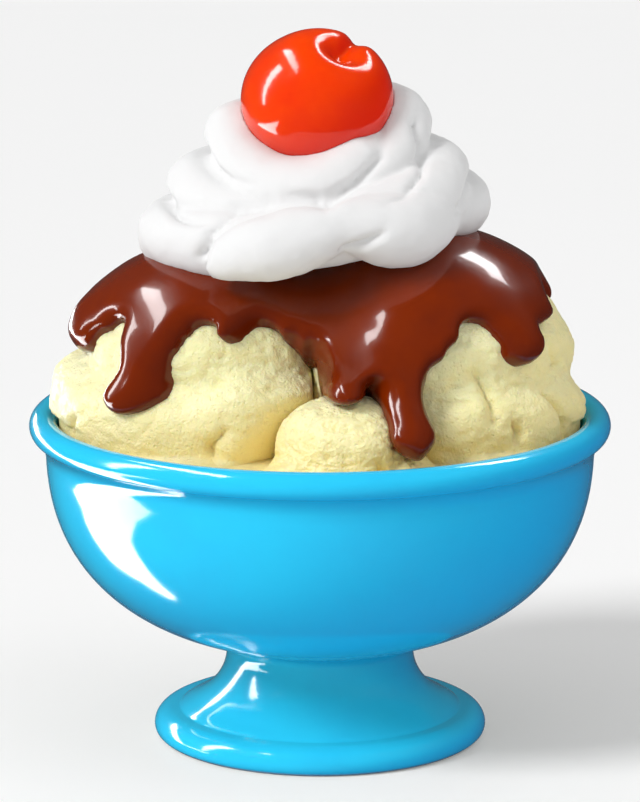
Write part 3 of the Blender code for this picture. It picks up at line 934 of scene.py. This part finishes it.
# %% [markdown]
# ## The whipped cream
# The cream is one soft rope, piped in a coil that rises and closes in towards the top. Its first end lies
# over the front of the sauce, and the higher turns nod forward under the weight of the cherry. The rope
# is swept along the coil with a round cross section, from a plain nozzle. A voxel remesh then melts its
# turns and a filling core into one skin, which is how piped cream joins up.

# %% The coil
ROPE_RADIUS = 6.8
ROPE_TAPER = 0.035
ROPE_RINGS, ROPE_COLUMNS = 420, 72
COIL_START, COIL_END = -0.355, 2.93
COIL_RADIUS = 26.2
COIL_SHRINK = 6.1
COIL_SWAY = 1.3
COIL_DEPTH = 0.77
COIL_SHIFT = -1.0
COIL_BASE, COIL_RISE = 96.5, 8.6
COIL_LEAN = 0.179
COIL_LEAN_GROWTH = 0.25
COIL_NOD, COIL_NOD_START = 0.42, 0.12
TAIL_DROOP = (2.5, 1.6)
TAIL_TURNS = (-0.15, COIL_START)
TOP_TURNS = (2.4, 2.85)
# The rope is squeezed out unevenly: each wave's turn, its width, the share that the radius gains, and how
# far the rope is lifted and moved outwards
ROPE_WAVES = (
    (-0.3, 0.05, -0.07, 0.8, 0.0), (-0.225, 0.035, -0.24, 1.5, 0.0), (-0.155, 0.045, 0.1, -1.3, 0.0),
    (-0.07, 0.05, -0.12, 0.6, -2.2), (0.0, 0.06, -0.06, -0.3, 0.0), (0.9, 0.09, 0.18, -0.6, 2.0),
    (1.0, 0.16, 0.0, -3.4, 1.0), (1.5, 0.12, 0.0, 0.0, 1.1), (2.0, 0.2, 0.08, -1.8, 0.6),
    (2.72, 0.12, 0.18, -1.2, 0.5),
)
END_SPREAD = (3.2, 0.15, 3.0)


def rope_wave(turn, column):
    """The sum at each turn of one column of the waves: 2 for the radius, 3 for the lift, 4 for outwards."""
    return sum(wave[column] * bell(turn - wave[0], wave[1]) for wave in ROPE_WAVES)


def coil_point(turn):
    """The middle of the rope after each number of turns, counted from the right side."""
    angle = 2 * math.pi * turn
    spread = soft_step(*TOP_TURNS, turn)
    radius = COIL_RADIUS - COIL_SHRINK * (turn - 0.25) + COIL_SWAY * np.sin(2 * math.pi * (turn - 0.25))
    radius = radius + END_SPREAD[0] * spread + rope_wave(turn, 4)
    x = COIL_SHIFT + radius * np.cos(angle)
    y = (COIL_DEPTH + END_SPREAD[1] * spread) * radius * np.sin(angle)
    lean = COIL_LEAN * (1 + COIL_LEAN_GROWTH * turn) * x
    nod = (COIL_NOD * turn - COIL_NOD_START) * np.minimum(y, 0.0)
    droop = soft_step(*TAIL_TURNS, turn)
    sink = TAIL_DROOP[1] * droop + END_SPREAD[2] * soft_step(2.7, COIL_END, turn)
    z = COIL_BASE + COIL_RISE * turn + rope_wave(turn, 3) + lean + nod - sink
    return np.stack([x, y - TAIL_DROOP[0] * droop, z], axis=-1)


def rope_radius(turn):
    """How thick the rope is: it tapers upwards, swells and narrows in its tail, and has round ends."""
    from_end = np.minimum(turn - COIL_START + 0.012, COIL_END - turn)
    round_end = np.clip(from_end / 0.07, 0.02, 1.0) ** 0.5
    return ROPE_RADIUS * round_end * (1 - ROPE_TAPER * turn) * (1 + rope_wave(turn, 2))


turns = np.linspace(COIL_START, COIL_END, ROPE_RINGS)
rope_length = np.linalg.norm(np.diff(coil_point(turns), axis=0), axis=1).sum()
print("the rope of cream is", round(rope_length / 10), "cm long")

# %% Sweep the rope
CORE_COLUMNS = 48
# The radius and the height of each ring of the filling
CORE = ((12, 93.5), (21, 93.5), (15, 104.0), (9, 114.5), (4, 114.5))


def rope_rings():
    """Rings round the coil, each square to the rope, from its first end to its last."""
    middle = coil_point(turns)
    along = np.gradient(middle, axis=0)
    along /= np.linalg.norm(along, axis=1)[:, None]
    side = np.cross(along, (0.0, 0.0, 1.0))
    side /= np.linalg.norm(side, axis=1)[:, None]
    up = np.cross(side, along)
    radius = rope_radius(turns)
    angle = full_turn(ROPE_COLUMNS, 0.0)
    across = side[:, None] * np.cos(angle)[None, :, None] + up[:, None] * np.sin(angle)[None, :, None]
    return middle[:, None] + across * radius[:, None, None]


def core_rings():
    """The filling inside the coil, under the cherry."""
    turned = full_turn(CORE_COLUMNS, 0.0)
    rings = []
    for radius, height in CORE:
        x = radius * np.cos(turned)
        rings.append(np.stack([x, COIL_DEPTH * radius * np.sin(turned), height + COIL_LEAN * x], axis=1))
    return np.array(rings)


# %% [markdown]
# After the remesh, the cream is settled. Its skin sinks along the line between two turns, and points that
# lie deep in the sauce move up to just under its top. Last, the cherry's own shape, grown by a hair, is
# cut out of the cream. Pushing points out of the cherry instead would leave a thin film on its skin.

# %% The cherry's shape
CHERRY_CENTRE = np.array((-0.5, -3.0, 120.7))
CHERRY_HALF = np.array((14.0, 13.4, 12.8))
DIMPLE_TOWARDS = np.array((0.36, -0.42, 0.83))
DIMPLE_OUT = 12.4
DIMPLE_PLACE = (CHERRY_CENTRE + DIMPLE_OUT * DIMPLE_TOWARDS) * MM
CLEFT_TOWARDS = (0.25, 0.9, 0.0)
UPHILL = np.array((0.25, 0.9, 0.2))
# Each form's height or depth, as a share of the radius, and its width, in radians from the dimple
SHOULDER, SHOULDER_AT, SHOULDER_WIDTH = 0.02, 0.6, 0.32
PIT, PIT_WIDTH = 0.26, 0.27
CLEFT, CLEFT_WIDTH, CLEFT_LENGTH = 0.16, 0.13, 0.9
CHERRY_COLUMNS, CHERRY_RINGS = 160, 110


def cherry_radius(aim):
    """How far the cherry's skin is from its middle, for a sphere of radius 1."""
    dimple = DIMPLE_TOWARDS / np.linalg.norm(DIMPLE_TOWARDS)
    away = np.arccos(np.clip(aim @ dimple, -1, 1))
    across_cleft = np.cross(dimple, CLEFT_TOWARDS)
    beside = aim @ (across_cleft / np.linalg.norm(across_cleft))
    behind = soft_step(0.0, 0.35, aim @ UPHILL - dimple @ UPHILL)
    shoulder = SHOULDER * bell(away - SHOULDER_AT, SHOULDER_WIDTH)
    pit = PIT * bell(away, PIT_WIDTH)
    cleft = CLEFT * bell(beside, CLEFT_WIDTH) * behind * bell(away, CLEFT_LENGTH)
    return 1.0 + shoulder - pit - cleft


def cherry_mesh(grown):
    """The cherry, larger all round by grown millimetres, with its rings round the dimple."""
    polar = np.linspace(0, math.pi, CHERRY_RINGS)[1:-1, None]
    turned, polar = np.broadcast_arrays(full_turn(CHERRY_COLUMNS), polar)
    to_dimple = np.array(Vector((0, 0, 1)).rotation_difference(Vector(DIMPLE_TOWARDS)).to_matrix())
    aim = directions(turned, polar) @ to_dimple.T
    rings = CHERRY_CENTRE + aim * cherry_radius(aim)[..., None] * (CHERRY_HALF + grown)
    return wrapped_mesh("candied_cherry", rings)


# %% Creases between the turns
CREAM_VOXEL = 0.5 * MM
CREASE_DEPTH = 2.3
CREASE_WIDTH = 2.0
IN_FRONT_CREASE = 0.3
# The deeper folds on the front: points across and up, and whether the fold fades at its first end too
FOLDS = (
    (((-21.4, 112.0), (-19.5, 109.0), (-16.4, 107.6), (-11.0, 107.4)), False),
    (((-28.5, 102.6), (-26.4, 101.0), (-23.6, 100.4), (-18.5, 100.8)), False),
    (((-21.4, 94.6), (-20.0, 99.3), (-15.4, 103.0), (-6.0, 104.3)), False),
    (((-6.5, 106.2), (1.0, 105.5), (6.5, 108.0), (12.0, 112.6)), True),
    (((17.5, 117.0), (18.8, 112.8), (18.2, 109.3), (15.6, 106.7), (11.0, 105.0)), False),
    (((28.0, 107.0), (26.8, 103.4), (24.5, 101.0)), False),
    (((4.2, 97.0), (8.2, 98.6), (12.5, 101.0)), False),
)
FOLD_DEPTH = 2.6
FOLD_SPOTS = 40
# How far back, in millimetres, the front's creases and folds fade
CREASE_FRONT, FOLD_FRONT = (4.0, -6.0), (2.0, -2.0)
BATCHES = 60


def pillowed(away):
    """The dip between two round cushions that touch: 1 at the line between them, 0 one width away."""
    return 1 - np.sqrt(1 - (1 - np.clip(away / CREASE_WIDTH, 0, 1)) ** 2)


def crease_depth(points):
    """Deep where two turns of the rope are equally near, and shallower in front, where the folds are."""
    middle = coil_point(turns)
    radius = rope_radius(turns)
    depths = []
    for batch in np.array_split(points, BATCHES):
        away = np.linalg.norm(batch[:, None] - middle, axis=-1) - radius
        nearest = turns[np.argmin(away, axis=1)]
        others = np.where(np.abs(turns - nearest[:, None]) > 0.5, away, 99.0)
        dip = pillowed((others.min(axis=1) - away.min(axis=1)) / 2)
        depths.append(dip * (1 - (1 - IN_FRONT_CREASE) * soft_step(*CREASE_FRONT, batch[:, 1])))
    return CREASE_DEPTH * np.concatenate(depths)


def fold_depth(points):
    """The folds of the front, which fade towards their ends."""
    total = np.zeros(len(points))
    share = np.linspace(0, 1, FOLD_SPOTS)
    for corners, both_ends in FOLDS:
        corners = np.array(corners)
        at = share * (len(corners) - 1)
        line = [np.interp(at, np.arange(len(corners)), corners[:, axis]) for axis in (0, 1)]
        fade = np.sqrt(np.sin(math.pi * share).clip(0)) if both_ends else 1 - share**3
        away = np.hypot(points[:, 0, None] - line[0], points[:, 2, None] - line[1])
        total = np.maximum(total, (pillowed(away) * fade).max(axis=1))
    return FOLD_DEPTH * total * soft_step(*FOLD_FRONT, points[:, 1])


# %% Settle the cream
CREAM_LUMPS = 0.16
CREAM_OVERLAP = 0.9
SEAT_ROOM = 0.03
CREAM_SMOOTHING, SEAT_SMOOTHING = 3, 2


def read_vectors(mesh, what):
    values = np.empty(len(mesh.vertices) * 3, np.float32)
    mesh.vertices.foreach_get(what, values)
    return values.reshape(-1, 3)


def settle(mesh):
    points = read_vectors(mesh, "co").astype(float) / MM
    relief = CREAM_LUMPS * lumps(points, 4.0, 3, 2.0) - crease_depth(points) - fold_depth(points)
    points += read_vectors(mesh, "normal") * relief[:, None]
    outward = points - HEART
    outward /= np.linalg.norm(outward, axis=1)[:, None]
    for _ in range(4):
        sunk = np.maximum(SAUCE_THICK - CREAM_OVERLAP - heap_distance(points, SAUCE_POOL), 0.0)
        points += outward * sunk[:, None]
    mesh.vertices.foreach_set("co", (points * MM).astype(np.float32).ravel())
    mesh.update()
    return mesh


def cut_seat(mesh):
    """Cuts the cherry's shape out of the cream, with the room of a hair round it."""
    helper = add_object("seated", mesh)
    cutter = add_object("cherry_cutter", cherry_mesh(SEAT_ROOM))
    add_soften(helper, SEAT_SMOOTHING)
    seat = helper.modifiers.new("seat", "BOOLEAN")
    seat.operation = "DIFFERENCE"
    seat.solver = "MANIFOLD"
    seat.object = cutter
    seated = applied("piped_cream", helper)
    bpy.data.objects.remove(cutter, do_unlink=True)
    print("the seat changed", len(mesh.polygons), "faces to", len(seated.polygons))
    return seated


# %% The cream's finish
# Painted shade darkens the creases. Pointiness is 0.5 on flat skin. The shade starts at the first value
# and is at its deepest at the second
CREASE_SHADE = (0.498, 0.455)


def cream():
    material, shader = plain_material("whipped_cream", (0.86, 0.86, 0.85), 0.45)
    tones = {"main": (0.80, 0.80, 0.795), "second": (0.76, 0.76, 0.75)}
    add_mottle(shader, **tones, patch_scale=120.0, amount=0.4, roughness=(0.36, 0.52))
    tree = material.node_tree
    pointiness = add_node(tree, "NewGeometry", {}).outputs["Pointiness"]
    # Painted shade: the creases between the turns are darkened towards grey
    tint(shader, smooth_range(tree, pointiness, *CREASE_SHADE, at_high=0.9), colour=(0.42, 0.42, 0.43))
    add_grain(shader, grain_scale=1900.0, pit_scale=700.0, pits=0.5, strength=0.2, distance=0.0004)
    let_light_in(shader, weight=0.45, radius=(1.0, 0.85, 0.7), scale=0.003)
    return material


rope_and_core = [wrapped_mesh("rope", rope_rings()[:, ::-1]), wrapped_mesh("core", core_rings()[::-1])]
swirl = cut_seat(settle(melted_together("piped_cream", rope_and_core, CREAM_VOXEL, CREAM_SMOOTHING)))
add_piece("piped_cream", swirl, cream(), "whipped_cream")

# %% [markdown]
# ## The cherry
# A candied cherry is round, with a dimple where the stem was pulled out and a cleft that runs back from
# it. The sphere's rings lie round the dimple, because a dimple is smooth only if the rings follow it.
# Its syrup makes it shine, and light passes a little way through the skin, which deepens the red.

# %% The cherry's skin
# The syrup has dried in the dimple up to the first distance from it and is whole from the second on
DRIED = (0.0085, 0.0115)


def cherry_skin():
    material, shader = plain_material("cherry_skin", (0.9, 0.06, 0.0), 0.12)
    tones = {"main": (0.95, 0.06, 0.0005), "second": (0.78, 0.014, 0.0005)}
    add_mottle(shader, **tones, patch_scale=75.0, amount=0.5, roughness=(0.12, 0.22))
    # Painted shade: a deeper red on the side away from the main light
    paint_shade(shader, colour=(0.75, 0.008, 0.0003), amount=0.8)
    add_grain(shader, grain_scale=420.0, pit_scale=1300.0, pits=0.35, strength=0.1, distance=0.0004)
    tree = material.node_tree
    ends = {0: object_place(tree), 1: DIMPLE_PLACE}
    from_dimple = add_node(tree, "VectorMath", ends, operation="DISTANCE").outputs["Value"]
    coat = smooth_range(tree, from_dimple, *DRIED, at_low=0.04, at_high=0.5)
    set_inputs(shader, {"Specular IOR Level": 0.2, "Coat Weight": coat, "Coat Roughness": 0.05})
    let_light_in(shader, weight=0.2, radius=(1.0, 0.12, 0.05), scale=0.002)
    return material


add_piece("candied_cherry", cherry_mesh(0.0), cherry_skin(), "cherry")

# %% [markdown]
# ## The table and the light
# The food stands on a nearly white table. A soft sun from the upper left shapes it, and a pale world and
# a weak sun from the right fill its shadows. Gloss needs its own lights, because a highlight is the image
# of a light. Bright cards that only reflections see do this, so each can be put where its image looks
# best and does not flatten the shading. The pale world is weaker in reflections, so that a white haze
# does not wash out the colours of glossy food.

# %% Helpers for the light
LAMP_AIM = (0.0, 0.0, 0.07)
CARD_DISTANCE, CARD_HEIGHT = 0.7, 0.09
FLOOR_SIZE = 8.0


def soft_sun(name, place, strength, softness):
    data = bpy.data.lights.new(name, "SUN")
    data.energy = strength
    data.angle = math.radians(softness)
    lamp = add_object(name, data)
    lamp.visible_glossy = False
    aim_at(lamp, place, LAMP_AIM)


def around(azimuth, elevation, distance=CARD_DISTANCE, height=CARD_HEIGHT):
    """A place round the sundae: turned from the front towards the right, and raised, in degrees."""
    turned, raised = math.radians(azimuth), math.radians(elevation)
    level = distance * math.cos(raised)
    return (level * math.sin(turned), -level * math.cos(turned), height + distance * math.sin(raised))


def glowing(name, colour, roughness, glow):
    """A material that also gives light, a little or a lot."""
    material, shader = plain_material(name, colour, roughness)
    set_inputs(shader, {"Emission Color": WHITE, "Emission Strength": glow})
    return material


def gloss_card(name, rows, brightness):
    """A bright card that shows only in reflections. Its rows are pairs of places, joined in turn."""
    corners = [place for pair in rows for place in pair]
    faces = [(2 * i, 2 * i + 1, 2 * i + 3, 2 * i + 2) for i in range(len(rows) - 1)]
    mesh = bpy.data.meshes.new(name)
    mesh.from_pydata(corners, [], faces)
    mesh.materials.append(glowing(name, (0.0, 0.0, 0.0), roughness=0.5, glow=brightness))
    card = add_object(name, mesh)
    card.visible_camera = False
    card.visible_diffuse = False
    card.visible_shadow = False


def make_floor():
    mesh = bpy.data.meshes.new("floor")
    corners = [(x * FLOOR_SIZE, y * FLOOR_SIZE, 0.0) for x, y in ((-1, -1), (1, -1), (1, 1), (-1, 1))]
    mesh.from_pydata(corners, [], [(0, 1, 2, 3)])
    mesh.materials.append(glowing("pale_floor", (0.95, 0.95, 0.95), roughness=0.6, glow=0.05))
    floor = add_object("floor", mesh)
    floor.visible_glossy = False


# %% Floor, world and suns
SKY_LIGHT, SKY_IN_GLOSS = 0.52, 0.06
KEY_LIGHT, KEY_SOFTNESS = 1.95, 20.0
FILL_FROM = (0.7, -0.2, 0.7)
FILL_LIGHT, FILL_SOFTNESS = 0.45, 50.0

make_floor()
world = bpy.data.worlds.new("studio")
scene.world = world
world.use_nodes = True
glossy_ray = add_node(world.node_tree, "LightPath", {}).outputs["Is Glossy Ray"]
sky_limits = {"Value": glossy_ray, "To Min": SKY_LIGHT, "To Max": SKY_IN_GLOSS}
sky_light = add_node(world.node_tree, "MapRange", sky_limits).outputs["Result"]
set_inputs(world.node_tree.nodes["Background"], {"Color": WHITE, "Strength": sky_light})
soft_sun("key_sun", KEY_FROM, KEY_LIGHT, KEY_SOFTNESS)
soft_sun("fill_sun", FILL_FROM, FILL_LIGHT, FILL_SOFTNESS)
scene.view_settings.view_transform = "Standard"
print("suns:", KEY_LIGHT, "and", FILL_LIGHT, "over a sky of", SKY_LIGHT)

# %% Cards for the highlights
# Each row is the two sides of the card that lies under the table's skin, in millimetres, from the foot
# outwards to the left. Only the bowl's glaze sees it, because the table does not show in reflections.
TABLE_CARD = (
    ((-49, -25), (-51, -28)), ((-67, -16), (-84, -29)), ((-87, 3), (-113, -29)), ((-135, 37), (-150, -45)),
    ((-231, 82), (-221, -134)),
)
# Each row of the other cards is two azimuths and an elevation, in degrees
CARDS = {
    "tall_card": ((-83, -86, -2), (-82, -91, 20), (-81, -99, 46)),
    "left_window": ((-46, -134, 47), (-56, -126, 60)),
    "right_window": ((122, 158, 43), (126, 154, 52)),
}
# This one is near the foot, so the pieces above see only its edge
FOOT_CARD = ((-98, -106, -4), (-108, -118, 10), (-118, -131, 19), (-132, -146, 26))
FOOT_CARD_PLACE = (0.16, 0.01)
FAR_LIGHT, NEAR_LIGHT = 20.0, 16.0


def card_rows(rows, *place):
    return [(around(left, up, *place), around(right, up, *place)) for left, right, up in rows]


gloss_card("table_card", [[(x * MM, y * MM, -MM) for x, y in row] for row in TABLE_CARD], NEAR_LIGHT)
for name, rows in CARDS.items():
    gloss_card(name, card_rows(rows), FAR_LIGHT)
gloss_card("foot_card", card_rows(FOOT_CARD, *FOOT_CARD_PLACE), NEAR_LIGHT)
print("cards that only gloss sees:", ["table_card", *CARDS, "foot_card"])
